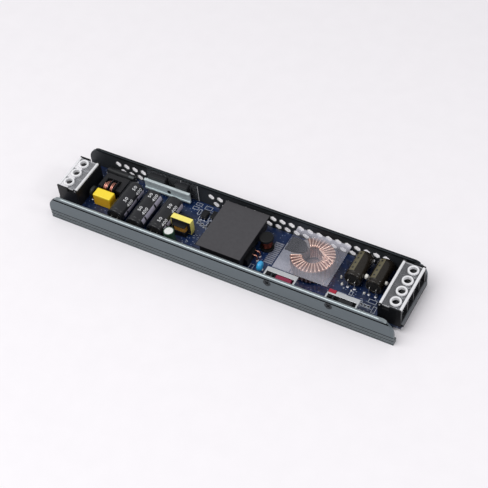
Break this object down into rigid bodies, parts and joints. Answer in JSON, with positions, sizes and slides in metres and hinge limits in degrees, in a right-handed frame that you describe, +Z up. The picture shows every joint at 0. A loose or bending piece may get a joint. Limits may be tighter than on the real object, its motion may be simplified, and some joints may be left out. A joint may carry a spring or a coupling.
{
  "type": "slim led power supply",
  "caption": "Slim open-frame LED power supply in a grooved aluminium channel, with covered screw terminals at both ends and its circuit board in view",
  "frame": {"origin": "middle of the channel's underside", "axes": "X along the channel from the input terminals to the output terminals, Y across to the vented wall, Z up"},
  "size_m": [0.2726, 0.0562, 0.0225],
  "materials": {
    "anodised_aluminium": "dark grey anodised extrusion",
    "board_blue": "blue solder mask on glass fibre",
    "insulator": "thin insulating sheet",
    "black_moulding": "moulded black plastic",
    "clear_plastic": "clear, slightly milky plastic",
    "plated_steel": "zinc or nickel plated",
    "black_steel": "blackened screw steel",
    "fuse_metal": "nickel plated cap",
    "black_rubber": "shrink sleeve",
    "red_rubber": "red silicone sleeve",
    "grey_rubber": "grey thermal pad",
    "yellow_case": "yellow box case",
    "red_case": "red box case",
    "blue_coat": "dipped blue coating",
    "dark_coat": "dipped dark coating",
    "ferrite": "dark grey ferrite",
    "grey_core": "coated grey powder core",
    "copper_wire": "enamelled copper wire",
    "amber_winding": "winding under amber tape",
    "dark_winding": "winding under dark tape",
    "yellow_tape": "yellow polyester tape",
    "black_sleeve": "printed black capacitor sleeve",
    "brown_sleeve": "dark brown capacitor sleeve",
    "green_sleeve": "green capacitor sleeve",
    "dark_film": "dark grey insulating film",
    "chip_case": "moulded semiconductor case"
  },
  "bodies": {
    "base": {"channel": "anodised_aluminium", "insulating_sheet": "insulator", "circuit_board": "board_blue", "input_block": "black_moulding", "input_plates": "plated_steel", "input_screws": "plated_steel", "output_block": "black_moulding", "output_plates": "plated_steel", "output_screws": "plated_steel", "fuse_sleeve": "black_rubber", "fuse_caps": "fuse_metal", "thermistor": "dark_coat", "film_capacitor": "yellow_case", "choke_core": "ferrite", "choke_bobbin": "black_moulding", "choke_windings": "copper_wire", "bulk_capacitor_1": "black_sleeve", "bulk_capacitor_2": "black_sleeve", "bulk_capacitor_3": "black_sleeve", "far_clamp": "plated_steel", "bridge_rectifier": "chip_case", "switching_transistor": "chip_case", "transistor_film": "clear_plastic", "aux_core": "ferrite", "aux_bobbin": "black_moulding", "aux_winding": "amber_winding", "aux_tape": "yellow_tape", "aux_capacitor": "green_sleeve", "control_chips": "chip_case", "chip_resistors": "chip_case", "main_core": "ferrite", "main_bobbin": "black_moulding", "main_winding": "dark_winding", "main_film": "dark_film", "secondary_leads": "copper_wire", "drum_core": "ferrite", "drum_winding": "copper_wire", "disc_capacitor": "blue_coat", "toroid_core": "grey_core", "toroid_winding": "copper_wire", "toroid_sheet": "clear_plastic", "near_clamp_1": "plated_steel", "near_clamp_2": "plated_steel", "output_rectifier_1": "chip_case", "output_rectifier_2": "chip_case", "rectifier_sleeve": "red_rubber", "snubber_capacitor": "red_case", "thermal_pads": "grey_rubber", "clamp_screws": "black_steel", "output_capacitor_1": "brown_sleeve", "output_capacitor_2": "brown_sleeve"},
    "input_lid": {"input_cover": "clear_plastic"},
    "output_lid": {"output_cover": "clear_plastic"}
  },
  "joints": [
    {"name": "input_hinge", "type": "hinge", "parent": "base", "child": "input_lid", "pos_m": [-0.1194, 0, 0.0209], "axis": [0, 1, 0], "range_deg": [0, 105]},
    {"name": "output_hinge", "type": "hinge", "parent": "base", "child": "output_lid", "pos_m": [0.1194, 0.00465, 0.0209], "axis": [0, -1, 0], "range_deg": [0, 105]}
  ]
}
